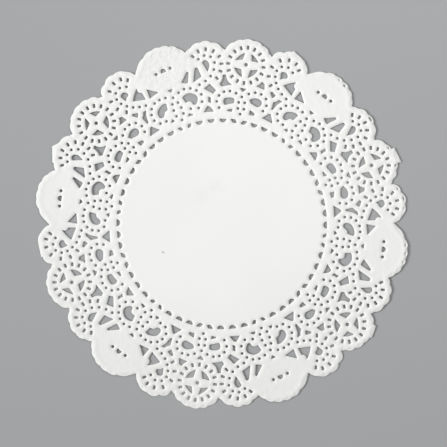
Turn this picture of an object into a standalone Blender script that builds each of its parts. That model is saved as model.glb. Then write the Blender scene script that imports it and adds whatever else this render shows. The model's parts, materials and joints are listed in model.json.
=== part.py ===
"""A round paper lace doily, cut and pressed by one die and lying flat.

Everything is in metres, +Z up. The origin is the middle of the underside, which lies on the table.

The lace is six like sectors of 60 degrees. Each sector has a medallion and, going clockwise, a right
fan, a rosette and a left fan. The cuts of a motif are given in that motif's own frame, in millimetres:
x to the right, y outwards, from the doily's middle. A sector has no mirror line, as the die was drawn
by hand, so each cut has its own row.
"""

import math

import bpy

MM = 0.001

# Driving dimensions.
SHEET_THICKNESS = 1.0 * MM
SECTORS = 6
SECTOR_ANGLE = 360.0 / SECTORS
FIRST_MEDALLION_AT = 51.0      # degrees anticlockwise from +X
ARC_ERROR = 0.06               # how far a straight step may leave its arc, in millimetres

PAPER_COLOUR = (0.87, 0.87, 0.86, 1.0)
PAPER_ROUGHNESS = 0.85

# How far each motif's frame is turned from its sector's medallion, in degrees (minus is clockwise).
MOTIF_TURN = {
    "medallion": 0.0,
    "right fan": -15.0,
    "rosette": -30.0,
    "left fan": -45.0,
}

# The scalloped rim, clockwise. Each corner is the cusp where a scallop starts:
# x, y, how far the scallop after it bows outwards.
RIM = {
    "medallion": (
        (-11.4, 70.0, 0.0),
        (-9.1, 73.1, 0.35),
        (-5.7, 75.35, 0.6),
        (-1.7, 77.0, 0.45),
        (2.2, 76.95, 0.55),
        (5.8, 75.95, 0.55),
        (8.9, 74.0, 0.3),
    ),
    "right fan": (
        (-7.7, 71.7, 0.2),
        (-5.3, 73.4, 0.75),
        (-1.1, 75.15, 0.8),
        (3.4, 74.75, 0.8),
        (7.7, 72.0, 0.0),
    ),
    "rosette": (
        (-9.8, 71.0, 0.2),
        (-8.5, 73.6, 0.1),
        (-6.4, 74.85, 0.5),
        (-3.1, 76.15, 0.6),
        (1.25, 76.4, 0.6),
        (5.1, 75.0, 0.7),
        (8.2, 72.25, 0.0),
    ),
    "left fan": (
        (-9.0, 71.2, 1.15),
        (-5.2, 74.8, 1.0),
        (-0.2, 75.95, 0.7),
        (4.5, 74.25, 0.45),
    ),
}

# Straight tabs that the cutter left on the rim, where the doily was parted from its stack:
# sector, motif, and the corners that stand in for the scallops between the first and the last.
RIM_TABS = (
    (1, "left fan", ((-2.6, 76.4), (-1.8, 77.05), (4.0, 75.0), (4.6, 74.2))),
    (0, "rosette", ((-3.8, 76.3), (-3.8, 77.5), (2.7, 78.1), (2.5, 76.5))),
    (2, "right fan", ((-5.2, 73.5), (-5.3, 74.0), (0.8, 76.8), (3.4, 74.75))),
    (3, "left fan", ((-5.7, 74.6), (-6.0, 75.4), (-0.1, 76.0))),
    (5, "rosette", ((-7.3, 74.4), (-7.2, 75.8), (-2.6, 77.4), (-1.6, 76.85))),
)

# The gaps of one sector, clockwise. Each corner is x, y, how far the edge after it bows outwards;
# a minus bow bends the edge into the gap.
GAPS = {
    "medallion": {
        "arched punch": ((-1.1, 66.75, 0.1), (-1.1, 67.4, 1.0), (1.05, 67.4, 0.1), (1.0, 66.75, 0.0)),
        "wedge": ((-9.2, 58.8, 0.0), (-9.1, 62.8, 0.0), (-4.9, 59.9, 0.0)),
        "chip": ((-1.2, 59.25, 0.0), (1.0, 59.25, 0.1), (0.0, 57.95, 0.1)),
        "left kidney": (
            (-8.45, 51.2, 0.3), (-7.6, 53.2, 0.2), (-5.0, 54.6, 0.1), (-3.6, 54.4, 0.0),
            (-4.0, 51.8, 0.0), (-5.4, 51.3, 0.0), (-6.3, 49.7, 0.35), (-8.1, 49.9, 0.1),
        ),
        "right kidney": (
            (3.4, 54.3, 0.1), (4.8, 55.0, 0.5), (8.2, 54.3, 0.3), (9.4, 52.2, 0.2), (8.1, 50.0, 0.35),
            (6.6, 50.2, 0.0), (6.5, 51.0, -0.3), (5.0, 52.0, 0.0), (4.0, 51.9, 0.0),
        ),
        "left foot chip": ((-4.6, 46.3, 0.0), (-3.6, 47.6, 0.1), (-2.8, 46.3, 0.1)),
        "right foot chip": ((2.9, 46.2, 0.0), (3.6, 47.4, 0.0), (5.1, 46.45, 0.1), (4.7, 46.0, 0.0)),
        "left slanted moon": ((-2.9, 43.2, 0.0), (-1.5, 43.35, 0.0), (-0.85, 42.1, 0.1), (-1.9, 41.8, 0.1)),
        "right slanted moon": ((1.05, 42.0, 0.0), (1.6, 43.3, 0.0), (3.1, 43.2, 0.1), (2.3, 41.8, 0.1)),
    },
    "right fan": {
        "slim wedge": ((-10.5, 59.5, 0.0), (-7.9, 63.8, 0.1), (-7.1, 63.4, 0.0), (-7.8, 59.1, 0.15)),
        "wide wedge": (
            (-5.6, 59.1, 0.0), (-4.6, 64.4, 0.0), (-4.1, 65.15, 0.0), (-3.2, 65.05, 0.0), (-2.0, 61.2, 0.0),
        ),
        "tear": (
            (-1.2, 66.9, 0.15), (0.1, 67.85, 0.3), (1.6, 66.5, 0.2), (1.6, 64.8, 0.0), (0.8, 62.9, 0.0),
        ),
        "star": (
            (5.1, 57.5, -0.45), (6.8, 61.0, 0.0), (8.2, 61.0, -0.75), (10.2, 56.6, 0.0), (5.7, 56.3, 0.0),
        ),
        "block": ((-1.5, 56.2, 0.0), (1.1, 57.9, 0.0), (3.4, 55.0, 0.0), (2.1, 53.7, 0.0)),
        "bow tie": (
            (-0.2, 52.8, 0.0), (1.0, 52.2, 0.0), (0.8, 51.2, 0.0), (0.9, 50.0, 0.0), (-0.4, 50.6, 0.0),
            (-0.1, 51.8, 0.0),
        ),
        "foot wedge": ((-2.6, 46.5, 0.0), (-0.9, 48.9, 0.1), (0.4, 48.4, 0.0), (1.6, 46.4, 0.0)),
    },
    "rosette": {
        "upper right petal": ((1.1, 71.0, 0.35), (4.6, 67.9, 0.0), (1.7, 68.1, 0.0)),
        "upper left petal": ((-5.2, 67.4, 0.35), (-1.5, 71.1, 0.0), (-2.0, 68.2, 0.0)),
        "lower left petal": ((-5.1, 64.5, 0.0), (-2.0, 64.2, 0.0), (-1.3, 61.0, 0.55)),
        "lower right petal": ((1.7, 64.3, 0.0), (4.8, 65.0, 0.7), (1.1, 61.0, 0.0)),
        "star": ((5.1, 58.2, -0.25), (7.2, 60.35, 0.0), (8.4, 59.7, 0.0), (8.7, 57.25, 0.0)),
        "chip": ((-1.35, 56.5, 0.0), (1.4, 56.5, 0.1), (0.0, 55.0, 0.1)),
        "left bean": (
            (-7.2, 49.5, 0.3), (-6.9, 51.4, 0.1), (-4.6, 52.0, 0.2), (-2.9, 51.6, 0.0), (-2.8, 50.0, 0.1),
            (-4.3, 49.4, 0.0), (-6.3, 48.6, 0.2),
        ),
        "right bean": (
            (3.3, 52.3, 0.1), (5.4, 53.2, 0.3), (8.0, 52.6, 0.3), (8.4, 50.8, 0.35), (6.6, 49.75, 0.0),
            (3.9, 50.9, 0.0),
        ),
        "left foot block": ((-5.1, 46.3, 0.0), (-4.9, 46.9, 0.0), (-3.0, 47.6, 0.0), (-3.2, 46.2, 0.0)),
        "right foot block": ((4.0, 46.1, 0.0), (4.1, 48.1, 0.0), (6.3, 47.0, 0.0), (6.1, 46.0, 0.0)),
        "left slanted moon": (
            (-3.1, 43.3, 0.0), (-1.2, 43.4, 0.0), (-0.4, 42.2, 0.1), (-1.5, 41.8, 0.1), (-2.4, 42.2, 0.1),
        ),
        "right slanted moon": (
            (1.2, 42.2, 0.0), (2.1, 43.3, 0.0), (3.8, 43.3, 0.1), (3.0, 42.0, 0.15), (1.8, 41.75, 0.1),
        ),
    },
    "left fan": {
        "bitten wedge": (
            (0.0, 62.3, 0.3), (4.4, 65.7, 0.0), (4.0, 64.6, -0.1), (4.3, 63.6, -0.1), (5.1, 63.0, 0.0),
            (4.8, 59.8, 0.0),
        ),
        "round gap": (
            (-3.0, 66.3, 0.3), (-2.2, 67.4, 0.4), (-0.3, 67.0, 0.35), (0.0, 65.4, 0.0), (-1.3, 64.9, 0.0),
            (-2.2, 64.0, 0.0),
        ),
        "cross gap": (
            (-3.8, 57.5, 0.0), (-3.2, 58.2, 0.0), (-1.2, 57.3, 0.0), (-1.3, 56.6, 0.0), (-2.2, 55.7, 0.0),
        ),
        "sliver": (
            (-1.0, 54.3, 0.0), (0.1, 55.2, 0.0), (0.8, 56.2, 0.0), (2.3, 56.2, 0.0), (1.0, 54.3, 0.0),
            (0.1, 51.4, 0.0), (-0.6, 51.3, 0.0),
        ),
        "foot wedge": ((-2.7, 46.5, 0.0), (-0.6, 49.4, 0.0), (0.1, 49.4, 0.0), (2.2, 46.3, 0.0)),
    },
}

# The half moons round the plain middle: their shape on the motif's axis, as for a gap,
# and where they lie: motif, degrees clockwise from its axis.
HALF_MOON = ((-1.45, 43.3, 0.0), (1.45, 43.3, 1.5))
HALF_MOONS = (
    ("medallion", -14.9),
    ("medallion", -8.35),
    ("medallion", 8.5),
    ("medallion", 15.1),
    ("rosette", -8.35),
    ("rosette", 9.07),
)


def turned(point, degrees):
    """The point turned anticlockwise about the doily's middle."""
    angle = math.radians(degrees)
    x, y = point
    return (x * math.cos(angle) - y * math.sin(angle), x * math.sin(angle) + y * math.cos(angle))


def bowed_edge(start, end, bow):
    """Points from start up to, but not at, end, on an arc that stands off its chord by bow.

    The arc lies to the left of the way from start to end.
    """
    if bow == 0.0:
        return [start]
    chord = math.dist(start, end)
    along = ((end[0] - start[0]) / chord, (end[1] - start[1]) / chord)
    left = (-along[1], along[0])
    height = abs(bow)
    radius = (chord * chord / 4.0 + height * height) / (2.0 * height)
    sweep = 4.0 * math.atan(2.0 * height / chord)
    widest_step = 2.0 * math.acos(1.0 - ARC_ERROR / radius)
    steps = max(2, math.ceil(sweep / widest_step))
    points = []
    for step in range(steps):
        angle = (step / steps - 0.5) * sweep
        run = chord / 2.0 + radius * math.sin(angle)
        rise = math.copysign(height - radius * (1.0 - math.cos(angle)), bow)
        points.append((
            start[0] + along[0] * run + left[0] * rise,
            start[1] + along[1] * run + left[1] * rise,
        ))
    return points


def bowed_path(corners):
    """All points of the path through the corners, without its last corner."""
    points = []
    for (x, y, bow), (next_x, next_y, _) in zip(corners, corners[1:]):
        points += bowed_edge((x, y), (next_x, next_y), bow)
    return points


def closed_path(corners):
    """All points of the loop through the corners."""
    return bowed_path(corners + corners[:1])


def frame_turn(motif, sector):
    """How far a motif's frame is turned from the part's frame, where y is +Y."""
    return FIRST_MEDALLION_AT - 90.0 + SECTOR_ANGLE * sector + MOTIF_TURN[motif]


def with_tabs(points, motif, sector):
    """The rim points of one lobe, with the straight tabs that the cutter left on it."""
    for tab_sector, tab_motif, corners in RIM_TABS:
        if (tab_sector, tab_motif) == (sector, motif):
            before = [point for point in points if point[0] < corners[0][0]]
            after = [point for point in points if point[0] > corners[-1][0]]
            points = before + list(corners) + after
    return points


def rim_loop():
    """The doily's outer edge, clockwise round all the sectors."""
    lobes = [(motif, sector) for sector in range(SECTORS, 0, -1) for motif in RIM]
    loop = []
    for place, (motif, sector) in enumerate(lobes):
        next_motif, next_sector = lobes[(place + 1) % len(lobes)]
        turn = frame_turn(motif, sector)
        next_cusp = turned(RIM[next_motif][0][:2], frame_turn(next_motif, next_sector) - turn)
        lobe = bowed_path(RIM[motif] + ((*next_cusp, 0.0),))
        loop += [turned(point, turn) for point in with_tabs(lobe, motif, sector % SECTORS)]
    return loop


def gap_loops():
    """Every gap and half moon of the six sectors."""
    loops = []
    for sector in range(SECTORS):
        for motif, gaps in GAPS.items():
            turn = frame_turn(motif, sector)
            loops += [[turned(point, turn) for point in closed_path(gap)] for gap in gaps.values()]
        for motif, clockwise in HALF_MOONS:
            turn = frame_turn(motif, sector) - clockwise
            loops.append([turned(point, turn) for point in closed_path(HALF_MOON)])
    return loops


def paper_material():
    """Plain white paper."""
    material = bpy.data.materials.new("white paper")
    material.use_nodes = True
    shader = material.node_tree.nodes["Principled BSDF"]
    shader.inputs["Base Color"].default_value = PAPER_COLOUR
    shader.inputs["Roughness"].default_value = PAPER_ROUGHNESS
    shader.inputs["Metallic"].default_value = 0.0
    return material


def add_loop(curve, loop):
    """A closed straight-sided spline through the loop's points."""
    spline = curve.splines.new("POLY")
    spline.points.add(len(loop) - 1)
    for point, (x, y) in zip(spline.points, loop):
        point.co = (x * MM, y * MM, 0.0, 1.0)
    spline.use_cyclic_u = True


def make_doily(collection):
    """The whole sheet: the rim's outline with every gap cut through it."""
    curve = bpy.data.curves.new("doily outline", "CURVE")
    curve.dimensions = "2D"
    curve.fill_mode = "BOTH"
    curve.extrude = SHEET_THICKNESS / 2.0
    add_loop(curve, rim_loop())
    for loop in gap_loops():
        add_loop(curve, loop)
    curve.materials.append(paper_material())
    doily = bpy.data.objects.new("doily", curve)
    doily.location.z = SHEET_THICKNESS / 2.0
    collection.objects.link(doily)


def main():
    for old in list(bpy.data.objects):
        bpy.data.objects.remove(old)
    collection = bpy.data.collections.new("lace doily")
    bpy.context.scene.collection.children.link(collection)
    make_doily(collection)


if __name__ == "__main__":
    main()
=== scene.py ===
"""The looks of a round paper lace doily that lies flat on a plain stage.

The frame gives the solid sheet, with its scalloped rim and its wide gaps. This file adds the pinholes and
the slots, the relief that the die presses into the paper, and the paper's finish.

Blender's lengths are metres and +Z is up. The charts and the named lengths at the top are millimetres. The
charts of the lace are in each motif's own frame: x to the right, y outwards, from the doily's middle.
"""

import bisect
import json
import math

import bmesh
import bpy
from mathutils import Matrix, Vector
from mathutils.geometry import delaunay_2d_cdt, intersect_point_line
from mathutils.kdtree import KDTree

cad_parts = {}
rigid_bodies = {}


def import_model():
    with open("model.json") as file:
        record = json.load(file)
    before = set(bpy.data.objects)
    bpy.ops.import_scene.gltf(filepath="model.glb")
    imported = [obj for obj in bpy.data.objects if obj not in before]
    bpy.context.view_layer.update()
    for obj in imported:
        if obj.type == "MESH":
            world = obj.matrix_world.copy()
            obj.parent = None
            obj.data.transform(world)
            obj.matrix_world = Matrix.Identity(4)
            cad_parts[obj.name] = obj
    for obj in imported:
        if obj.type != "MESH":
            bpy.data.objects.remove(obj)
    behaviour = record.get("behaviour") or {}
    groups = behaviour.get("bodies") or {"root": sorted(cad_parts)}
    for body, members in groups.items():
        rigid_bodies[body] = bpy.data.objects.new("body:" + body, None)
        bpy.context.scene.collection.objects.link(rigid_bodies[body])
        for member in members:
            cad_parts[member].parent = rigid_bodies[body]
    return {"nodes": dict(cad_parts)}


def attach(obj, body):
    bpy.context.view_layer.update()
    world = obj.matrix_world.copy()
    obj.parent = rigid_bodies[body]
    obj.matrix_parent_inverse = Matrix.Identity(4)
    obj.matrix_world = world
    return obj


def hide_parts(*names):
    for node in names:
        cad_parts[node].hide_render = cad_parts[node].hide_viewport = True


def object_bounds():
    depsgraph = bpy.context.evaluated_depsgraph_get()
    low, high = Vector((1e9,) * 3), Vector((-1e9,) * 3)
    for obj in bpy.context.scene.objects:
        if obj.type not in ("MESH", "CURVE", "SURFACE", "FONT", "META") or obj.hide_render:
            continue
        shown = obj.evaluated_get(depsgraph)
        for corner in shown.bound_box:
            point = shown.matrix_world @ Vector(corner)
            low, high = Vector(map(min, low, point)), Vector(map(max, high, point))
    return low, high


for old in list(bpy.data.objects):
    bpy.data.objects.remove(old)
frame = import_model()
CAD_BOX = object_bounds()

bl_info = {
    "name": "Paper Lace Doily",
    "version": (1, 0, 0),
    "blender": (4, 5, 0),
    "location": "View3D > Sidebar > Lace Doily",
    "description": "Makes a die-cut, pressed paper lace doily over its solid sheet",
    "category": "Add Mesh",
}

MM = 0.001
SHEET_NODE = "doily"
BODY = "root"

# The lace is six like sectors. Each motif's frame is turned from its sector's medallion, in degrees.
SECTORS = 6
FIRST_MEDALLION_AT = 51.0
MOTIF_TURN = {"medallion": 0.0, "right fan": -15.0, "rosette": -30.0, "left fan": -45.0}

# The round holes of one sector: motif, row, punch, and the places x, y.
ROUND_HOLES = (
    ("medallion", "crown", "wide pin", ((-3.2, 67.1), (3.1, 67.5))),
    (
        "medallion", "left arch", "pin",
        ((-8.75, 47.6), (-10.7, 49.6), (-10.9, 52.2), (-10.0, 54.45), (-8.0, 56.2), (-5.65, 56.8),
         (-3.05, 56.7)),
    ),
    (
        "medallion", "right arch", "pin",
        ((2.8, 56.8), (5.4, 57.35), (7.95, 56.7), (10.0, 55.05), (11.3, 52.8), (10.5, 49.9), (8.25, 47.95),
         (5.1, 48.85)),
    ),
    (
        "medallion", "stem", "pin",
        ((-0.1, 55.65), (-1.3, 53.2), (1.1, 53.1), (-1.7, 50.65), (1.65, 50.7), (-1.5, 48.05), (1.6, 48.1),
         (0.1, 45.85), (-6.1, 47.6)),
    ),
    ("rosette", "eye", "eye", ((-0.35, 66.25),)),
    (
        "rosette", "left arch", "pin",
        ((-8.55, 47.1), (-9.9, 49.5), (-9.35, 52.05), (-7.55, 53.9), (-5.2, 54.55), (-2.55, 54.05)),
    ),
    (
        "rosette", "right arch", "pin",
        ((2.65, 54.55), (5.2, 55.5), (7.75, 55.2), (10.0, 53.6), (10.6, 50.9), (9.5, 48.5)),
    ),
    (
        "rosette", "stem", "pin",
        ((0.0, 52.9), (-0.9, 50.5), (1.55, 50.7), (-0.85, 48.0), (1.65, 48.05), (0.4, 45.8)),
    ),
    (
        "right fan", "inner ring", "pin",
        ((-2.45, 68.45), (0.1, 69.7), (2.65, 68.95), (4.0, 66.4), (3.45, 63.55), (1.85, 61.0), (-0.5, 59.2),
         (-3.1, 57.95)),
    ),
    (
        "left fan", "inner ring", "pin",
        ((3.35, 57.75), (0.9, 58.8), (-1.3, 60.2), (-3.1, 62.1), (-4.45, 64.3), (-4.9, 66.8), (-3.7, 69.1),
         (-1.1, 69.9), (1.4, 68.7)),
    ),
)

# The slots of one sector: motif, the middle of the ring that they point at, and the places x, y.
SLOTS = (
    (
        "right fan", (0.0, 65.5),
        ((-4.7, 69.8), (-2.2, 71.6), (0.95, 72.2), (4.0, 71.1), (6.2, 68.7), (6.8, 65.6), (6.1, 62.6),
         (4.3, 59.9)),
    ),
    (
        "left fan", (-0.6, 66.2),
        ((3.4, 70.6), (1.3, 72.5), (-2.0, 72.8), (-5.3, 71.2), (-7.3, 67.4), (-7.0, 63.35), (-4.7, 60.2)),
    ),
)

# The rosette's slots stand in an even ring, clockwise from an angle in degrees.
ROSETTE_MIDDLE = (-0.33, 66.0)
ROSETTE_RING_RADIUS = 7.32
ROSETTE_SLOTS = 16
ROSETTE_FIRST_SLOT_AT = 92.4
SLOT_CORNER_STEPS = 2

# Dents in the bead along the rim: degrees anticlockwise from +X, how far out from the doily's middle, half
# the length, how deep. Each is a short groove along the rim, which ends at its reach from its middle line
# and is nowhere felt past its span.
DENTS = (
    (50.7, 76.6, 0.1, 0.4),
    (48.4, 76.0, 0.15, 0.8),
    (35.2, 74.8, 0.55, 0.8),
    (24.5, 75.5, 0.1, 0.6),
    (18.6, 75.6, 0.1, 0.7),
    (11.3, 73.9, 0.15, 0.5),
    (7.9, 75.6, 0.45, 0.6),
    (4.9, 75.4, 0.1, 0.3),
    (-6.6, 76.2, 0.35, 0.4),
    (-9.2, 76.6, 0.35, 0.4),
    (-12.0, 76.4, 0.15, 0.2),
)
DENT_REACH = 0.65
DENT_SPAN = 2.0

# The mesh. The plain middle disc needs few points, the bead along the rim needs rows of them, and a dent
# needs a fine patch, with so many rows and columns on each side of its middle.
PLAIN_RADIUS = 40.0
PLAIN_PITCH = 2.4
RIM_ROWS = (0.4, 0.8, 1.3, 1.9, 2.5)
RIM_ROW_PITCH = 0.6
RIM_ROW_CLEARANCE = 0.33
DENT_PATCH_PITCH = 0.2
DENT_PATCH_ROWS = 3
DENT_PATCH_COLUMNS = 5

# How near a new point may lie to another, as a share of its own pitch.
GRID_CLEARANCE = 0.8
EDGE_ROW_CLEARANCE = 0.78

# The solid's points closer than the weld are one point, and its faces that face up are its top. Of the
# triangles laid between the sheet's points, those inside the outlines are kept.
FACING_UP = 0.5
WELD = 0.0001
TRIANGLE_WELD = 1e-6
INSIDE_OUTLINES = 1

# The outlines. Each edge gives up to this share of its length to the easing of a corner.
EASED_SHARE = 0.25
SHARP_CORNER = math.radians(140.0)
SHARP_FOLD = math.radians(50.0)

# The relief. The rim's depth is measured up to its reach, in a band outside this share of the half width.
# The bead is lower towards the cusps, and a hollow is shorter than its scallop by this factor.
RIM_REACH = 3.5
RIM_BAND = 0.8
BEAD_IN_SCALLOP = 1.2
BEAD_LOST_AT_CUSP = 0.5
CUP_SHORTNESS = 1.4
LIFT = 0.02

# Noise seldom leaves the middle half of its range, so a height worked from it is doubled.
NOISE_MIDDLE = 0.5
NOISE_GAIN = 2.0
NOISE_DETAIL = 1.0
NOISE_ROUGHNESS = 0.4

# A place in the lace that is pressed less evenly than the rest: x, y, radius, how many times as uneven. It
# fades out between two shares of its radius, in the relief and in the bump.
UNEVEN = (-24.0, 65.0, 15.0, 2.2)
UNEVEN_RELIEF_FADE = (0.5, 1.0)
UNEVEN_BUMP_FADE = (0.7, 0.9)

# The radii between which the disc's plain paper turns into the lace's, for its height and for its colour.
LACE_RISE = (PLAIN_RADIUS - 1.0, PLAIN_RADIUS + 4.0)
LACE_TINT = (PLAIN_RADIUS - 1.0, PLAIN_RADIUS + 2.0)

# Unevenness in the pulp: how many to a millimetre, detail, roughness.
CLOUDS = (0.09, 3.0, 0.55)
MOTTLE = (1.4, 2.0, 0.6)
FIBRES = (5.5, 4.0, 0.7)
RAGGED_EDGES = (0.3, 2.0, 0.6)

# The paper's colour, with painted light and shade: the spot where the painted shade is least and the paper
# is whitest, the radii from where and to where painted shade darkens it towards the rim, how far from a cut
# it is pressed and carries a painted highlight, the depths at which the painted shade in a dent starts to
# show and shows most, and how far each takes the colour.
WHITEST = (-8.0, 12.0)
# Painted shade: the paper darkens between these radii from the whitest spot, towards the rim.
RIM_SHADE_RADII = (0.9 * PLAIN_RADIUS, 2.1 * PLAIN_RADIUS)
PRESSING = (0.1, 0.9)
# Painted shade in the dents, by their depth.
DENT_SHADE_DEPTHS = (0.05, 0.65)
CLOUD_SHARE = 0.25
# Painted highlight beside the cuts.
PAINTED_HIGHLIGHT_SHARE = 0.5
MOTTLE_SHARE = 0.5
# Painted shade in the dents.
DENT_SHADE_SHARE = 0.95

# A speck in the pulp and two faint smudges on the plain disc, with ragged edges: x, y, radius, how dark.
MARKS = ((-24.2, -11.7, 0.4, 0.85), (-2.2, 15.6, 2.0, 0.05), (-8.4, 11.6, 2.4, 0.05))
MARK_SPREAD = 2.2
RAGGED_GAIN = 2.4
RAGGED_BASE = 0.2

# The height of the finest relief, which is bump: of the fibres and the mottle all over, and how much more
# the mottle has in the lace and in its uneven place.
FIBRE_BUMP = 0.012
MOTTLE_BUMP = 0.012
LACE_BUMP = 0.07
UNEVEN_BUMP = 0.23

# The paper's roughness, how far the mottle and the pressing change it, and its shine.
PAPER_ROUGHNESS = 0.86
MOTTLE_ROUGHNESS = 0.12
PRESSED_SMOOTHNESS = 0.14
PAPER_IOR = 1.47
PAPER_SHINE = 0.35

# Where a Mix node has its sockets for colours.
MIX_FROM = 6
MIX_TO = 7
MIX_RESULT = 2

# The stage, in metres.
KEY_PLACE = (-2.35, -0.29, 1.85)
KEY_SIZE = 1.0
FILL_PLACE = (0.133, 0.24, 0.476)
FILL_SIZE = 0.35
FLOOR_ROUGHNESS = 0.9
NEAREST_SEEN = 0.01


class LaceSizes(bpy.types.PropertyGroup):
    """The sizes and colours of the paper lace."""

    pin: bpy.props.FloatProperty(
        name="Pinhole", description="Diameter of the pinholes",
        default=1.15 * MM, unit="LENGTH", precision=5)
    wide_pin: bpy.props.FloatProperty(
        name="Wide Pinhole", description="Diameter of the holes beside each medallion's arched punch",
        default=1.3 * MM, unit="LENGTH", precision=5)
    eye: bpy.props.FloatProperty(
        name="Eye", description="Diameter of the hole in each rosette's middle",
        default=1.5 * MM, unit="LENGTH", precision=5)
    slot_length: bpy.props.FloatProperty(
        name="Slot Length", description="Length of the slots in the rings",
        default=1.65 * MM, unit="LENGTH", precision=5)
    slot_width: bpy.props.FloatProperty(
        name="Slot Width", description="Width of the slots in the rings",
        default=1.02 * MM, unit="LENGTH", precision=5)
    slot_corner: bpy.props.FloatProperty(
        name="Slot Corner", description="Radius of the slots' corners",
        default=0.28 * MM, unit="LENGTH", precision=5)
    pin_sides: bpy.props.IntProperty(
        name="Pinhole Sides", description="Straight sides of a pinhole's outline",
        default=12, min=6, max=24)
    corner_ease: bpy.props.FloatProperty(
        name="Corner Ease", description="How far a sharp corner of a gap is cut back",
        default=0.14 * MM, unit="LENGTH", precision=5)
    edge_pitch: bpy.props.FloatProperty(
        name="Edge Pitch", description="Widest step of the mesh along a cut edge",
        default=0.5 * MM, unit="LENGTH", precision=5)
    lace_pitch: bpy.props.FloatProperty(
        name="Lace Pitch", description="Step of the mesh across the lace",
        default=0.67 * MM, unit="LENGTH", precision=5)
    edge_row: bpy.props.FloatProperty(
        name="Edge Row", description="From a cut edge to the first row of mesh points beside it",
        default=0.37 * MM, unit="LENGTH", precision=5)
    thickness: bpy.props.FloatProperty(
        name="Paper", description="Thickness of the paper", default=0.16 * MM, unit="LENGTH", precision=5)
    strand_height: bpy.props.FloatProperty(
        name="Strand Height", description="How high the pressed paper stands between its cuts",
        default=0.36 * MM, unit="LENGTH", precision=5)
    strand_rise: bpy.props.FloatProperty(
        name="Strand Rise", description="From a cut edge to where the rounded paper is at its full height",
        default=0.72 * MM, unit="LENGTH", precision=5)
    bead_height: bpy.props.FloatProperty(
        name="Bead Height", description="How much higher the bead along the rim stands",
        default=0.18 * MM, unit="LENGTH", precision=5)
    bead_inset: bpy.props.FloatProperty(
        name="Bead Inset", description="From the rim to the crest of its bead",
        default=1.36 * MM, unit="LENGTH", precision=5)
    bead_foot: bpy.props.FloatProperty(
        name="Bead Foot", description="From the rim to the inner foot of its bead",
        default=2.9 * MM, unit="LENGTH", precision=5)
    cup_depth: bpy.props.FloatProperty(
        name="Cup Depth", description="Depth of the small hollow in each scallop of the rim",
        default=0.3 * MM, unit="LENGTH", precision=5)
    cup_inset: bpy.props.FloatProperty(
        name="Cup Inset", description="From the rim to the middle of each scallop's hollow",
        default=0.85 * MM, unit="LENGTH", precision=5)
    cup_reach: bpy.props.FloatProperty(
        name="Cup Reach", description="From the middle of a scallop's hollow to its side",
        default=0.7 * MM, unit="LENGTH", precision=5)
    mottle_height: bpy.props.FloatProperty(
        name="Mottle", description="How unevenly the lace is pressed",
        default=0.1 * MM, unit="LENGTH", precision=5)
    mottle_size: bpy.props.FloatProperty(
        name="Mottle Size", description="Size of the unevenness",
        default=1.7 * MM, unit="LENGTH", precision=5)
    cockle_height: bpy.props.FloatProperty(
        name="Cockle", description="How far the sheet waves off the table",
        default=0.9 * MM, unit="LENGTH", precision=5)
    cockle_size: bpy.props.FloatProperty(
        name="Cockle Size", description="Size of the waves",
        default=60.0 * MM, unit="LENGTH", precision=4)
    paper_colour: bpy.props.FloatVectorProperty(
        name="Paper Colour", description="Colour of the plain paper", default=(0.855, 0.855, 0.84),
        subtype="COLOR", size=3, min=0.0, max=1.0)
    # Painted shade towards the rim.
    rim_shade_colour: bpy.props.FloatVectorProperty(
        name="Rim Shade Colour", description="Colour towards the rim, with painted shade",
        default=(0.805, 0.805, 0.79), subtype="COLOR", size=3, min=0.0, max=1.0)
    # Painted highlight on the paper beside a cut.
    highlight_colour: bpy.props.FloatVectorProperty(
        name="Highlight Colour", description="Colour of the paper beside a cut",
        default=(0.9, 0.9, 0.886), subtype="COLOR", size=3, min=0.0, max=1.0)
    # Painted shade at the bottom of a dent in the rim.
    dent_shade_colour: bpy.props.FloatVectorProperty(
        name="Dent Shade Colour", description="Colour at the bottom of a dent in the rim",
        default=(0.4, 0.395, 0.39), subtype="COLOR", size=3, min=0.0, max=1.0)
    mark_colour: bpy.props.FloatVectorProperty(
        name="Mark Colour", description="Colour of the speck and the smudges",
        default=(0.35, 0.34, 0.33), subtype="COLOR", size=3, min=0.0, max=1.0)


class StageSizes(bpy.types.PropertyGroup):
    """The floor, the lights and the camera."""

    floor_colour: bpy.props.FloatVectorProperty(
        name="Floor Colour", description="Colour of the plain floor", default=(0.36, 0.365, 0.37),
        subtype="COLOR", size=3, min=0.0, max=1.0)
    floor_size: bpy.props.FloatProperty(
        name="Floor", description="Width of the floor", default=4.0, unit="LENGTH")
    frame_width: bpy.props.FloatProperty(
        name="Frame Width", description="Width of the picture at the doily",
        default=184.3 * MM, unit="LENGTH", precision=5)
    aim: bpy.props.FloatVectorProperty(
        name="Aim", description="Where the middle of the picture lies", default=(0.68 * MM, 0.18 * MM),
        size=2, subtype="TRANSLATION", unit="LENGTH", precision=5)
    lens: bpy.props.FloatProperty(
        name="Lens", description="Focal length of the camera in millimetres", default=100.0)
    key_power: bpy.props.FloatProperty(
        name="Key Light", description="Power of the large light at the left, in watts", default=71.0)
    fill_power: bpy.props.FloatProperty(
        name="Fill Light", description="Power of the small light overhead, in watts", default=1.33)
    sky_strength: bpy.props.FloatProperty(
        name="Sky", description="Strength of the even light from all round", default=0.22)


# The sizes that the relief's tree takes, each under the name of its property.
RELIEF_SIZES = ("strand_height", "strand_rise", "bead_height", "bead_inset", "bead_foot", "cup_depth",
                "cup_inset", "cup_reach", "mottle_height", "mottle_size", "cockle_height", "cockle_size")


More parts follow.
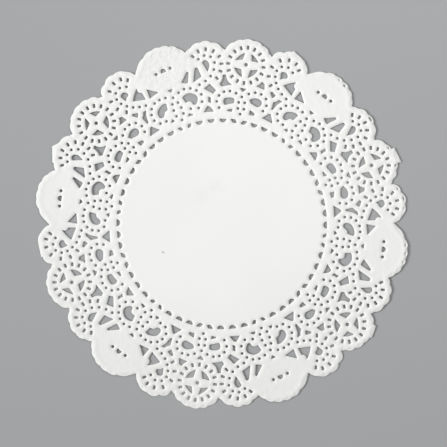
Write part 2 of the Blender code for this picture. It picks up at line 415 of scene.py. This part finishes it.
class Value:
    """A number socket of a node tree. Python's operators on it add Math nodes."""

    def __init__(self, nodes, socket):
        self.nodes = nodes
        self.socket = socket

    def worked(self, operation, *operands):
        node = self.nodes.add("ShaderNodeMath", {"operation": operation}, dict(enumerate(operands)))
        return Value(self.nodes, node.outputs[0])

    def __add__(self, other):
        return self.worked("ADD", self, other)

    def __sub__(self, other):
        return self.worked("SUBTRACT", self, other)

    def __mul__(self, other):
        return self.worked("MULTIPLY", self, other)

    def __truediv__(self, other):
        return self.worked("DIVIDE", self, other)

    def __radd__(self, other):
        return self.worked("ADD", other, self)

    def __rsub__(self, other):
        return self.worked("SUBTRACT", other, self)

    def __rmul__(self, other):
        return self.worked("MULTIPLY", other, self)

    def __rtruediv__(self, other):
        return self.worked("DIVIDE", other, self)

    def at_least(self, least):
        return self.worked("MAXIMUM", self, least)


class Nodes:
    """Adds nodes to one tree."""

    def __init__(self, tree):
        self.tree = tree

    def add(self, kind, settings=None, sockets=None):
        """A node of that kind. Its settings are set first, and then its sockets get values or links."""
        node = self.tree.nodes.new(kind)
        for name, setting in (settings or {}).items():
            setattr(node, name, setting)
        for name, given in (sockets or {}).items():
            if isinstance(given, Value):
                given = given.socket
            if isinstance(given, bpy.types.NodeSocket):
                self.tree.links.new(given, node.inputs[name])
            else:
                node.inputs[name].default_value = given
        return node

    def value(self, kind, settings=None, sockets=None, output=0):
        """The number that such a node gives, ready for Python's operators."""
        return Value(self, self.add(kind, settings, sockets).outputs[output])

    def ramp(self, value, low, high, from_low=0.0, from_high=1.0):
        """Goes smoothly from from_low to from_high while the value goes from low to high."""
        return self.value("ShaderNodeMapRange", {"interpolation_type": "SMOOTHSTEP"}, {
            "Value": value, "From Min": low, "From Max": high, "To Min": from_low, "To Max": from_high})

    def distance(self, place, point):
        """How far the place is from the point."""
        return self.value("ShaderNodeVectorMath", {"operation": "DISTANCE"}, {0: place, 1: point}, "Value")


def turned(point, degrees):
    """The point turned anticlockwise about the doily's middle."""
    angle = math.radians(degrees)
    x, y = point
    return (x * math.cos(angle) - y * math.sin(angle), x * math.sin(angle) + y * math.cos(angle))


def motif_turn(motif):
    """How far the frame of the first sector's motif is turned from the part's frame, where y is +Y."""
    return FIRST_MEDALLION_AT - 90.0 + MOTIF_TURN[motif]


def rosette_ring():
    """The places of the rosette's slots."""
    places = []
    for count in range(ROSETTE_SLOTS):
        angle = math.radians(ROSETTE_FIRST_SLOT_AT - 360.0 * count / ROSETTE_SLOTS)
        places.append((
            ROSETTE_MIDDLE[0] + ROSETTE_RING_RADIUS * math.cos(angle),
            ROSETTE_MIDDLE[1] + ROSETTE_RING_RADIUS * math.sin(angle),
        ))
    return places


def first_sector_punches(sizes):
    """The punches of the first sector: place, diameter (none for a slot), and the way a slot points."""
    punches = []
    diameters = {"pin": sizes.pin, "wide pin": sizes.wide_pin, "eye": sizes.eye}
    for motif, _, punch, places in ROUND_HOLES:
        turn = motif_turn(motif)
        punches += [(turned(place, turn), diameters[punch], 0.0) for place in places]
    for motif, middle, places in (*SLOTS, ("rosette", ROSETTE_MIDDLE, rosette_ring())):
        turn = motif_turn(motif)
        for x, y in places:
            points_at = math.atan2(y - middle[1], x - middle[0]) + math.radians(turn)
            punches.append((turned((x, y), turn), 0.0, points_at))
    return punches


def geometry_tree(name, inputs):
    """A geometry tree with a mesh in and out and one named input for each size, given with its socket."""
    tree = bpy.data.node_groups.new(name, "GeometryNodeTree")
    tree.interface.new_socket("Geometry", in_out="INPUT", socket_type="NodeSocketGeometry")
    for label, kind in inputs.items():
        tree.interface.new_socket(label, in_out="INPUT", socket_type=kind)
    tree.interface.new_socket("Geometry", in_out="OUTPUT", socket_type="NodeSocketGeometry")
    nodes = Nodes(tree)
    given = nodes.add("NodeGroupInput").outputs
    return tree, nodes, given


def end_tree(nodes, geometry, material):
    """The tree's last nodes: real geometry with the material on it."""
    real = nodes.add("GeometryNodeRealizeInstances", None, {"Geometry": geometry})
    painted = nodes.add("GeometryNodeSetMaterial", None, {
        "Geometry": real.outputs[0], "Material": material})
    nodes.add("NodeGroupOutput", None, {"Geometry": painted.outputs[0]})


def worked_by(piece, tree, inputs):
    """Gives the piece the mesh that the tree makes of it."""
    modifier = piece.modifiers.new(tree.name, "NODES")
    modifier.node_group = tree
    for item in tree.interface.items_tree:
        if item.name in inputs:
            modifier[item.identifier] = inputs[item.name]
    apply(piece, modifier)


def apply(piece, modifier):
    """Gives the piece the mesh that its modifier makes."""
    evaluated = piece.evaluated_get(bpy.context.evaluated_depsgraph_get())
    mesh = bpy.data.meshes.new_from_object(evaluated)
    piece.modifiers.remove(modifier)
    before = piece.data
    piece.data = mesh
    bpy.data.meshes.remove(before)


def thicken(piece, thickness):
    """Gives the piece that thickness below its face, with crisp cut edges."""
    modifier = piece.modifiers.new("paper thickness", "SOLIDIFY")
    modifier.thickness = thickness
    modifier.offset = -1.0
    apply(piece, modifier)
    piece.data.shade_smooth()
    piece.data.set_sharp_from_angle(angle=SHARP_FOLD)


def punch_tree():
    """Lays out the outlines of the punched holes at one sector's points, for every sector."""
    tree, nodes, given = geometry_tree("punched holes", {
        "Sectors": "NodeSocketInt",
        "Pinhole Sides": "NodeSocketInt",
        "Slot Length": "NodeSocketFloat",
        "Slot Width": "NodeSocketFloat",
        "Slot Corner": "NodeSocketFloat",
        "Paper": "NodeSocketMaterial",
    })

    def marked(name):
        return nodes.value("GeometryNodeInputNamedAttribute", {"data_type": "FLOAT"}, {"Name": name})

    diameter = marked("diameter")
    is_round = nodes.add("FunctionNodeCompare", {"operation": "GREATER_THAN"}, {"A": diameter, "B": 0.0})
    is_slot = nodes.add("FunctionNodeBooleanMath", {"operation": "NOT"}, {0: is_round.outputs[0]})
    pin = nodes.add("GeometryNodeMeshCircle", {"fill_type": "NONE"}, {
        "Vertices": given["Pinhole Sides"], "Radius": 0.5})
    pins = nodes.add("GeometryNodeInstanceOnPoints", None, {
        "Points": given["Geometry"], "Selection": is_round.outputs[0], "Instance": pin.outputs[0],
        "Scale": diameter})
    box = nodes.add("GeometryNodeCurvePrimitiveQuadrilateral", None, {
        "Width": given["Slot Length"], "Height": given["Slot Width"]})
    rounded = nodes.add("GeometryNodeFilletCurve", {"mode": "POLY"}, {
        "Curve": box.outputs[0], "Count": SLOT_CORNER_STEPS, "Radius": given["Slot Corner"]})
    slot = nodes.add("GeometryNodeCurveToMesh", None, {"Curve": rounded.outputs[0]})
    turn = nodes.add("ShaderNodeCombineXYZ", None, {"Z": marked("points at")})
    slots = nodes.add("GeometryNodeInstanceOnPoints", None, {
        "Points": given["Geometry"], "Selection": is_slot.outputs[0], "Instance": slot.outputs[0],
        "Rotation": turn.outputs[0]})
    sector = nodes.add("GeometryNodeJoinGeometry")
    for part in (pins, slots):
        nodes.tree.links.new(part.outputs[0], sector.inputs[0])
    middle = nodes.add("GeometryNodeMeshLine", None, {
        "Count": given["Sectors"], "Offset": (0.0, 0.0, 0.0)})
    sector_count = Value(nodes, given["Sectors"])
    index = nodes.value("GeometryNodeInputIndex")
    sector_turn = nodes.add("ShaderNodeCombineXYZ", None, {"Z": index * math.tau / sector_count})
    every = nodes.add("GeometryNodeInstanceOnPoints", None, {
        "Points": middle.outputs[0], "Instance": sector.outputs[0], "Rotation": sector_turn.outputs[0]})
    end_tree(nodes, every.outputs[0], given["Paper"])
    return tree


def chained(edges):
    """The closed loops that the edges make, each as vertex numbers in order."""
    neighbours = {}
    for first, second in edges:
        neighbours.setdefault(first, []).append(second)
        neighbours.setdefault(second, []).append(first)
    loops = []
    while neighbours:
        start, (onward, _) = neighbours.popitem()
        loop = [start]
        while onward != start:
            before = loop[-1]
            loop.append(onward)
            one, other = neighbours.pop(onward)
            onward = other if one == before else one
        loops.append(loop)
    return loops


def anticlockwise(loop):
    """The loop, turned round if it runs clockwise."""
    twice_area = sum(a.cross(b) for a, b in zip(loop, loop[1:] + loop[:1]))
    return loop if twice_area > 0.0 else loop[::-1]


def flat_loops(vertices, edges):
    """The closed loops that the edges make, as flat points, each anticlockwise."""
    places = [vertex.co.to_2d() for vertex in vertices]
    return [anticlockwise([places[vertex] for vertex in loop]) for loop in chained(edges)]


def punched_outlines(sizes, paper):
    """The outlines of every pinhole and slot."""
    punches = first_sector_punches(sizes)
    mesh = bpy.data.meshes.new("punches")
    mesh.from_pydata([(x * MM, y * MM, 0.0) for (x, y), _, _ in punches], [], [])
    for name, column in (("diameter", 1), ("points at", 2)):
        values = mesh.attributes.new(name, "FLOAT", "POINT").data
        values.foreach_set("value", [punch[column] for punch in punches])
    outlines = bpy.data.objects.new("punches", mesh)
    bpy.context.scene.collection.objects.link(outlines)
    worked_by(outlines, punch_tree(), {
        "Sectors": SECTORS,
        "Pinhole Sides": sizes.pin_sides,
        "Slot Length": sizes.slot_length,
        "Slot Width": sizes.slot_width,
        "Slot Corner": sizes.slot_corner,
        "Paper": paper,
    })
    loops = flat_loops(outlines.data.vertices, [edge.vertices[:] for edge in outlines.data.edges])
    bpy.data.objects.remove(outlines)
    return loops


def solid_outlines(node):
    """The outlines of the solid sheet's top face, the rim first and then the gaps."""
    solid = bmesh.new()
    solid.from_mesh(node.data)
    bmesh.ops.remove_doubles(solid, verts=solid.verts, dist=WELD * MM)
    solid.verts.index_update()
    solid.normal_update()
    edges = []
    for edge in solid.edges:
        top_faces = [face for face in edge.link_faces if face.normal.z > FACING_UP]
        if len(top_faces) == 1:
            edges.append((edge.verts[0].index, edge.verts[1].index))
    loops = flat_loops(solid.verts, edges)
    solid.free()
    loops.sort(key=lambda loop: max(point.length for point in loop), reverse=True)
    return loops


def corners_of(loop):
    """Each corner of the loop between the one before it and the one after it."""
    return zip(loop[-1:] + loop[:-1], loop, loop[1:] + loop[:1])


def eased(loop, ease):
    """The anticlockwise loop with each corner cut by a share of its edges.

    A corner that is sharp or points into the loop is cut by no more than ease.
    """
    points = []
    for before, corner, after in corners_of(loop):
        back, on = before - corner, after - corner
        is_crisp = on.cross(back) < 0.0 or back.angle(on) < SHARP_CORNER
        most = ease if is_crisp else back.length + on.length
        points.append(corner + back.normalized() * min(most, EASED_SHARE * back.length))
        points.append(corner + on.normalized() * min(most, EASED_SHARE * on.length))
    return points


def divided(loop, pitch):
    """The loop with its long edges split into equal steps no longer than pitch."""
    points = []
    for start, end in zip(loop, loop[1:] + loop[:1]):
        steps = max(1, math.ceil((end - start).length / pitch))
        points += [start.lerp(end, step / steps) for step in range(steps)]
    return points


def beside(loop, distance):
    """Points to the right of the middle of each of the loop's edges."""
    points = []
    for start, end in zip(loop, loop[1:] + loop[:1]):
        along = (end - start).normalized()
        points.append((start + end) / 2.0 + Vector((along.y, -along.x)) * distance)
    return points


def hexagonal(pitch, inner, outer):
    """A grid of points a pitch apart, in rows that are half a step out of line, between two radii."""
    row_step = pitch * math.sqrt(0.75)
    rows = math.ceil(outer / row_step)
    columns = math.ceil(outer / pitch)
    points = []
    for row in range(-rows, rows + 1):
        for column in range(-columns, columns + 1):
            point = Vector(((column + 0.5 * (row % 2)) * pitch, row * row_step))
            if inner <= point.length < outer:
                points.append(point)
    return points


class Scatter:
    """Flat points that keep their distance from each other, found by the square cell that each lies in."""

    def __init__(self, cell):
        self.cell = cell
        self.cells = {}
        self.points = []

    def add(self, point):
        self.points.append(point)
        place = (math.floor(point.x / self.cell), math.floor(point.y / self.cell))
        self.cells.setdefault(place, []).append(point)

    def add_clear(self, point, distance):
        """Adds the point unless another lies within distance, which is at most one cell."""
        column, row = math.floor(point.x / self.cell), math.floor(point.y / self.cell)
        for near_column in (column - 1, column, column + 1):
            for near_row in (row - 1, row, row + 1):
                for other in self.cells.get((near_column, near_row), ()):
                    if (other - point).length_squared < distance * distance:
                        return
        self.add(point)


def dent_line(degrees, distance):
    """The middle of a dent, and the way along the rim there."""
    outward = Vector(turned((1.0, 0.0), degrees))
    return outward * distance * MM, Vector((-outward.y, outward.x))


def dent_depth(place):
    """How deep the dents in the rim are at that place."""
    total = 0.0
    for degrees, distance, half_length, depth in DENTS:
        middle, along = dent_line(degrees, distance)
        if (place - middle).length < DENT_SPAN * MM:
            half = along * half_length * MM
            share = intersect_point_line(place, middle - half, middle + half)[1]
            nearest = middle + half * (2.0 * min(max(share, 0.0), 1.0) - 1.0)
            away = min((place - nearest).length / (DENT_REACH * MM), 1.0)
            total += depth * MM * (1.0 - away * away) ** 2
    return total


def lay_dent_points(scatter):
    """Lays a fine patch of points at each dent."""
    for degrees, distance, _, _ in DENTS:
        middle, along = dent_line(degrees, distance)
        outward = middle.normalized()
        for row in range(-DENT_PATCH_ROWS, DENT_PATCH_ROWS + 1):
            for column in range(-DENT_PATCH_COLUMNS, DENT_PATCH_COLUMNS + 1):
                point = middle + (outward * row + along * column) * DENT_PATCH_PITCH * MM
                scatter.add_clear(point, GRID_CLEARANCE * DENT_PATCH_PITCH * MM)


def lay_points(outlines, sizes):
    """The points of the sheet's mesh, and each outline as the numbers of its points."""
    scatter = Scatter(sizes.lace_pitch)
    loops = []
    for outline in outlines:
        start = len(scatter.points)
        for point in outline:
            scatter.add(point)
        loops.append(list(range(start, len(scatter.points))))
    lay_dent_points(scatter)
    inward_rim = divided(outlines[0][::-1], RIM_ROW_PITCH * MM)
    for depth in RIM_ROWS:
        for point in beside(inward_rim, depth * MM):
            scatter.add_clear(point, RIM_ROW_CLEARANCE * MM)
    for outline in outlines[1:]:
        for point in beside(outline, sizes.edge_row):
            scatter.add_clear(point, EDGE_ROW_CLEARANCE * sizes.edge_row)
    reach = max(point.length for point in outlines[0])
    for point in hexagonal(sizes.lace_pitch, PLAIN_RADIUS * MM, reach):
        scatter.add_clear(point, GRID_CLEARANCE * sizes.lace_pitch)
    for point in hexagonal(PLAIN_PITCH * MM, 0.0, PLAIN_RADIUS * MM):
        scatter.add(point)
    return scatter.points, loops


def flat_sheet(outlines, sizes):
    """The flat sheet inside the first outline and outside the others, with points fit for its relief."""
    points, loops = lay_points(outlines, sizes)
    corners, _, faces, _, _, owners = delaunay_2d_cdt(
        [point / MM for point in points], [], loops, INSIDE_OUTLINES, TRIANGLE_WELD)
    paper = [face for face, owner in zip(faces, owners) if list(owner) == [0]]
    used = sorted({corner for face in paper for corner in face})
    number = {corner: place for place, corner in enumerate(used)}
    mesh = bpy.data.meshes.new("lace sheet")
    mesh.from_pydata(
        [(corners[corner][0] * MM, corners[corner][1] * MM, 0.0) for corner in used], [],
        [[number[corner] for corner in face] for face in paper])
    return mesh


def search_tree(points):
    """A search tree of flat points."""
    tree = KDTree(len(points))
    for index, point in enumerate(points):
        tree.insert(point.to_3d(), index)
    tree.balance()
    return tree


class Rim:
    """The rim's outline, to find how far inside it a place lies, and where in a scallop."""

    def __init__(self, outline, solid_outline):
        """Takes the scallops' cusps from the solid's outline, at the corners that point into it."""
        self.outline = outline
        self.tree = search_tree(outline)
        self.runs = [0.0]
        for start, end in zip(outline, outline[1:] + outline[:1]):
            self.runs.append(self.runs[-1] + (end - start).length)
        cusps = [
            corner for before, corner, after in corners_of(solid_outline)
            if (corner - before).cross(after - corner) < 0.0
        ]
        runs = sorted(self.runs[place] for place in {self.tree.find(cusp.to_3d())[1] for cusp in cusps})
        self.cusp_runs = [runs[-1] - self.runs[-1]] + runs + [runs[0] + self.runs[-1]]

    def nearest(self, place):
        """How far the place is from the rim, and how far along the rim the nearest point lies."""
        corner = self.tree.find(place.to_3d())[1]
        found = []
        for first in (corner - 1, corner):
            start, end = self.outline[first], self.outline[(first + 1) % len(self.outline)]
            share = min(max(intersect_point_line(place, start, end)[1], 0.0), 1.0)
            run = self.runs[first % len(self.outline)] + share * (end - start).length
            found.append(((place - start.lerp(end, share)).length, run))
        return min(found, key=lambda pair: pair[0])

    def scallop(self, run):
        """The place in a scallop, from 0 in its middle to 1 at a cusp, of that far along the rim."""
        after = bisect.bisect(self.cusp_runs, run)
        low, high = self.cusp_runs[after - 1], self.cusp_runs[after]
        return abs(2.0 * (run - low) / (high - low) - 1.0)


def mark_rim(mesh, rim):
    """Gives each point its depth inside the rim, its place in a scallop, and the depth of a dent there."""
    reach = RIM_REACH * MM
    band = RIM_BAND * CAD_BOX[1].x
    depths, scallops, dents = [], [], []
    for vertex in mesh.vertices:
        place = vertex.co.to_2d()
        depth, scallop, dent = reach, 1.0, 0.0
        if place.length > band:
            dent = dent_depth(place)
            distance, run = rim.nearest(place)
            if distance < reach:
                depth, scallop = distance, rim.scallop(run)
        depths.append(depth)
        scallops.append(scallop)
        dents.append(dent)
    for name, values in (("rim depth", depths), ("scallop", scallops), ("dent", dents)):
        mesh.attributes.new(name, "FLOAT", "POINT").data.foreach_set("value", values)


def label_of(name):
    """The words of a property's name, as a tree's input has them."""
    return name.replace("_", " ").title()


def relief_tree():
    """Presses the flat sheet: rounded strands, a bead with a hollow in each scallop, dents, and waves."""
    inputs = {label_of(name): "NodeSocketFloat" for name in RELIEF_SIZES}
    tree, nodes, given = geometry_tree("pressed relief", {**inputs, "Paper": "NodeSocketMaterial"})
    size = {label: Value(nodes, given[label]) for label in inputs}
    place = nodes.add("GeometryNodeInputPosition").outputs[0]

    def marked(name):
        return nodes.value("GeometryNodeInputNamedAttribute", {"data_type": "FLOAT"}, {"Name": name})

    def away_from(x, y):
        return nodes.distance(place, (x * MM, y * MM, 0.0))

    def noise(feature_size):
        return nodes.value("ShaderNodeTexNoise", {"noise_dimensions": "3D"}, {
            "Vector": place, "Scale": 1.0 / feature_size, "Detail": NOISE_DETAIL,
            "Roughness": NOISE_ROUGHNESS})

    faces_at_edge = nodes.add("GeometryNodeInputMeshEdgeNeighbors")
    at_cut = nodes.add("FunctionNodeCompare", {"data_type": "INT", "operation": "EQUAL"}, {
        "A": faces_at_edge.outputs[0], "B": 1})
    cuts = nodes.add("GeometryNodeSeparateGeometry", {"domain": "EDGE"}, {
        "Geometry": given["Geometry"], "Selection": at_cut.outputs[0]})
    near = nodes.add("GeometryNodeProximity", {"target_element": "EDGES"}, {"Geometry": cuts.outputs[0]})
    distance = Value(nodes, near.outputs["Distance"])
    short = (1.0 - distance / size["Strand Rise"]).at_least(0.0)
    strands = (1.0 - short * short) * size["Strand Height"]

    depth = marked("rim depth")
    bead_rise = nodes.ramp(depth, 0.0, size["Bead Inset"])
    bead_fall = nodes.ramp(depth, size["Bead Inset"], size["Bead Foot"], 1.0, 0.0)
    scallop = marked("scallop")
    bead = bead_rise * bead_fall * (BEAD_IN_SCALLOP - BEAD_LOST_AT_CUSP * scallop) * size["Bead Height"]
    across = (depth - size["Cup Inset"]) / size["Cup Reach"]
    along = scallop * CUP_SHORTNESS
    cup = (1.0 - across * across - along * along).at_least(0.0)
    pressed = strands + bead - cup * size["Cup Depth"] - marked("dent")

    lace_starts, lace_full = LACE_RISE
    in_lace = nodes.ramp(away_from(0.0, 0.0), lace_starts * MM, lace_full * MM)
    uneven_x, uneven_y, radius, times = UNEVEN
    fade_starts, fade_ends = (share * radius * MM for share in UNEVEN_RELIEF_FADE)
    uneven = nodes.ramp(away_from(uneven_x, uneven_y), fade_starts, fade_ends, times, 1.0)
    unevenness = noise(size["Mottle Size"]) - NOISE_MIDDLE
    mottle = unevenness * size["Mottle Height"] * NOISE_GAIN * uneven * in_lace
    cockle = noise(size["Cockle Size"]) * size["Cockle Height"] * NOISE_GAIN

    distances = nodes.add("GeometryNodeStoreNamedAttribute", {"data_type": "FLOAT", "domain": "POINT"}, {
        "Geometry": given["Geometry"], "Name": "cut distance", "Value": distance})
    offset = nodes.add("ShaderNodeCombineXYZ", None, {"Z": pressed + mottle + cockle})
    moved = nodes.add("GeometryNodeSetPosition", None, {
        "Geometry": distances.outputs[0], "Offset": offset.outputs[0]})
    end_tree(nodes, moved.outputs[0], given["Paper"])
    return tree


def paper_finish(sizes):
    """White uncoated paper: clouds and fibres in the pulp, smoother where it is pressed up, with a painted
    highlight beside the cuts and painted shade towards the rim and in the dents.
    """
    material = bpy.data.materials.new("white lace paper")
    material.use_nodes = True
    material.node_tree.nodes.clear()
    nodes = Nodes(material.node_tree)
    coordinates = nodes.add("ShaderNodeTexCoord")
    place = nodes.add("ShaderNodeVectorMath", {"operation": "SCALE"}, {
        "Vector": coordinates.outputs["Object"], "Scale": 1.0 / MM}).outputs[0]
    flat_place = nodes.add("ShaderNodeVectorMath", {"operation": "MULTIPLY"}, {
        0: place, 1: (1.0, 1.0, 0.0)}).outputs[0]

    def noise(to_a_millimetre, detail, roughness):
        return nodes.value("ShaderNodeTexNoise", None, {
            "Vector": place, "Scale": to_a_millimetre, "Detail": detail, "Roughness": roughness})

    def attribute(name):
        return nodes.value("ShaderNodeAttribute", {"attribute_name": name}, None, "Fac") * (1.0 / MM)

    def away_from(x, y):
        return nodes.distance(flat_place, (x, y, 0.0))

    def mixed(share, one, other):
        return nodes.add("ShaderNodeMix", {"data_type": "RGBA"}, {
            "Factor": share, MIX_FROM: one, MIX_TO: other}).outputs[MIX_RESULT]

    clouds = noise(*CLOUDS)
    mottle = noise(*MOTTLE)
    fibres = noise(*FIBRES)
    # The pressed band beside each cut is smoother, and it also carries the painted highlight.
    pressed = nodes.ramp(attribute("cut distance"), *PRESSING, 1.0, 0.0)
    in_lace = nodes.ramp(away_from(0.0, 0.0), *LACE_TINT)
    # Painted shade: darker away from the whitest spot, up and left of the middle, towards the rim.
    outwards = nodes.ramp(away_from(*WHITEST), *RIM_SHADE_RADII)
    # Painted shade at the bottom of each dent.
    dent_shade = nodes.ramp(attribute("dent"), *DENT_SHADE_DEPTHS, 0.0, DENT_SHADE_SHARE)
    uneven_x, uneven_y, radius, _ = UNEVEN
    fade_starts, fade_ends = (share * radius for share in UNEVEN_BUMP_FADE)
    uneven = nodes.ramp(away_from(uneven_x, uneven_y), fade_starts, fade_ends, 1.0, 0.0)
    ragged = noise(*RAGGED_EDGES) * RAGGED_GAIN - RAGGED_BASE
    marks = sum(
        nodes.ramp(away_from(x, y) * ragged, 0.0, MARK_SPREAD * radius, darkness, 0.0)
        for x, y, radius, darkness in MARKS)

    # Painted shade towards the rim, with the pulp's random clouds.
    rim_shade_and_clouds = outwards + (clouds - NOISE_MIDDLE) * CLOUD_SHARE
    # Painted highlight beside the cuts, with the mottle's random tone in the lace.
    highlight_and_mottle = pressed * PAINTED_HIGHLIGHT_SHARE + (mottle - NOISE_MIDDLE) * in_lace * MOTTLE_SHARE
    paper = mixed(rim_shade_and_clouds, (*sizes.paper_colour, 1.0), (*sizes.rim_shade_colour, 1.0))
    lace = mixed(highlight_and_mottle, paper, (*sizes.highlight_colour, 1.0))
    # Painted shade in the dents.
    dent_shaded = mixed(dent_shade, lace, (*sizes.dent_shade_colour, 1.0))
    marked = mixed(marks, dent_shaded, (*sizes.mark_colour, 1.0))
    height = fibres * FIBRE_BUMP + mottle * (MOTTLE_BUMP + in_lace * LACE_BUMP + uneven * UNEVEN_BUMP)
    bump = nodes.add("ShaderNodeBump", None, {"Strength": 1.0, "Distance": MM, "Height": height})
    dullness = PAPER_ROUGHNESS + (mottle - NOISE_MIDDLE) * MOTTLE_ROUGHNESS - pressed * PRESSED_SMOOTHNESS
    shader = nodes.add("ShaderNodeBsdfPrincipled", None, {
        "Base Color": marked,
        "Roughness": dullness,
        "Metallic": 0.0,
        "IOR": PAPER_IOR,
        "Specular IOR Level": PAPER_SHINE,
        "Normal": bump.outputs[0],
    })
    nodes.add("ShaderNodeOutputMaterial", None, {"Surface": shader.outputs[0]})
    return material


def settle(mesh, lowest):
    """Lowers or lifts the mesh until its lowest point is at that height."""
    drop = lowest - min(vertex.co.z for vertex in mesh.vertices)
    for vertex in mesh.vertices:
        vertex.co.z += drop


class LACE_OT_sheet(bpy.types.Operator):
    """Makes the lace sheet over the solid one"""

    bl_idname = "lace.sheet"
    bl_label = "Lace Sheet"

    def execute(self, context):
        sizes = context.scene.lace_sizes
        paper = paper_finish(sizes)
        solid = solid_outlines(frame["nodes"][SHEET_NODE])
        cuts = [divided(eased(loop, sizes.corner_ease), sizes.edge_pitch) for loop in solid]
        mesh = flat_sheet(cuts + punched_outlines(sizes, paper), sizes)
        mark_rim(mesh, Rim(cuts[0], solid[0]))
        sheet = bpy.data.objects.new("lace_sheet", mesh)
        context.scene.collection.objects.link(sheet)
        inputs = {label_of(name): getattr(sizes, name) for name in RELIEF_SIZES}
        worked_by(sheet, relief_tree(), {**inputs, "Paper": paper})
        thicken(sheet, sizes.thickness)
        settle(sheet.data, LIFT * MM)
        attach(sheet, BODY)
        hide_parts(SHEET_NODE)
        return {"FINISHED"}


class LACE_OT_stage(bpy.types.Operator):
    """Makes the plain floor, the soft studio lights and the camera"""

    bl_idname = "lace.stage"
    bl_label = "Stage"

    def execute(self, context):
        sizes = context.scene.lace_stage
        add_floor(sizes)
        add_light("key light", KEY_PLACE, KEY_SIZE, sizes.key_power)
        add_light("fill light", FILL_PLACE, FILL_SIZE, sizes.fill_power)
        add_sky(sizes)
        add_camera(context, sizes)
        return {"FINISHED"}


def add_floor(sizes):
    """A plain floor under the doily."""
    half = sizes.floor_size / 2.0
    corners = [(-half, -half, 0.0), (half, -half, 0.0), (half, half, 0.0), (-half, half, 0.0)]
    mesh = bpy.data.meshes.new("floor")
    mesh.from_pydata(corners, [], [(0, 1, 2, 3)])
    material = bpy.data.materials.new("matte floor")
    material.use_nodes = True
    shader = material.node_tree.nodes["Principled BSDF"]
    shader.inputs["Base Color"].default_value = (*sizes.floor_colour, 1.0)
    shader.inputs["Roughness"].default_value = FLOOR_ROUGHNESS
    mesh.materials.append(material)
    floor = bpy.data.objects.new("floor", mesh)
    bpy.context.scene.collection.objects.link(floor)


def add_light(name, place, size, power):
    """A soft light that faces the doily."""
    light = bpy.data.lights.new(name, "AREA")
    light.size = size
    light.energy = power
    lamp = bpy.data.objects.new(name, light)
    lamp.location = place
    lamp.rotation_euler = Vector(place).to_track_quat("Z", "Y").to_euler()
    bpy.context.scene.collection.objects.link(lamp)


def add_sky(sizes):
    """Even light from all round."""
    world = bpy.data.worlds.new("soft sky")
    world.use_nodes = True
    sky = world.node_tree.nodes["Background"]
    sky.inputs["Color"].default_value = (1.0, 1.0, 1.0, 1.0)
    sky.inputs["Strength"].default_value = sizes.sky_strength
    bpy.context.scene.world = world


def add_camera(context, sizes):
    """The camera straight above the doily, with the picture's top towards +Y."""
    camera = bpy.data.cameras.new("camera")
    camera.lens = sizes.lens
    camera.clip_start = NEAREST_SEEN
    eye = bpy.data.objects.new("camera", camera)
    height = sizes.frame_width * sizes.lens / camera.sensor_width
    eye.location = (*sizes.aim, height)
    context.scene.collection.objects.link(eye)
    context.scene.camera = eye
    context.scene.view_settings.view_transform = "Standard"


class LACE_PT_panel(bpy.types.Panel):
    """The doily's pieces and sizes, in the 3D view's sidebar"""

    bl_idname = "LACE_PT_panel"
    bl_label = "Lace Doily"
    bl_space_type = "VIEW_3D"
    bl_region_type = "UI"
    bl_category = "Lace Doily"

    def draw(self, context):
        scene = context.scene
        for operator, sizes in ((LACE_OT_sheet, scene.lace_sizes), (LACE_OT_stage, scene.lace_stage)):
            box = self.layout.box()
            box.operator(operator.bl_idname)
            for name in sizes.__annotations__:
                box.prop(sizes, name)


CLASSES = (LaceSizes, StageSizes, LACE_OT_sheet, LACE_OT_stage, LACE_PT_panel)


def register():
    for kind in CLASSES:
        bpy.utils.register_class(kind)
    bpy.types.Scene.lace_sizes = bpy.props.PointerProperty(type=LaceSizes)
    bpy.types.Scene.lace_stage = bpy.props.PointerProperty(type=StageSizes)


def unregister():
    del bpy.types.Scene.lace_stage
    del bpy.types.Scene.lace_sizes
    for kind in reversed(CLASSES):
        bpy.utils.unregister_class(kind)


def main():
    register()
    bpy.ops.lace.sheet()
    bpy.ops.lace.stage()


if __name__ == "__main__":
    main()
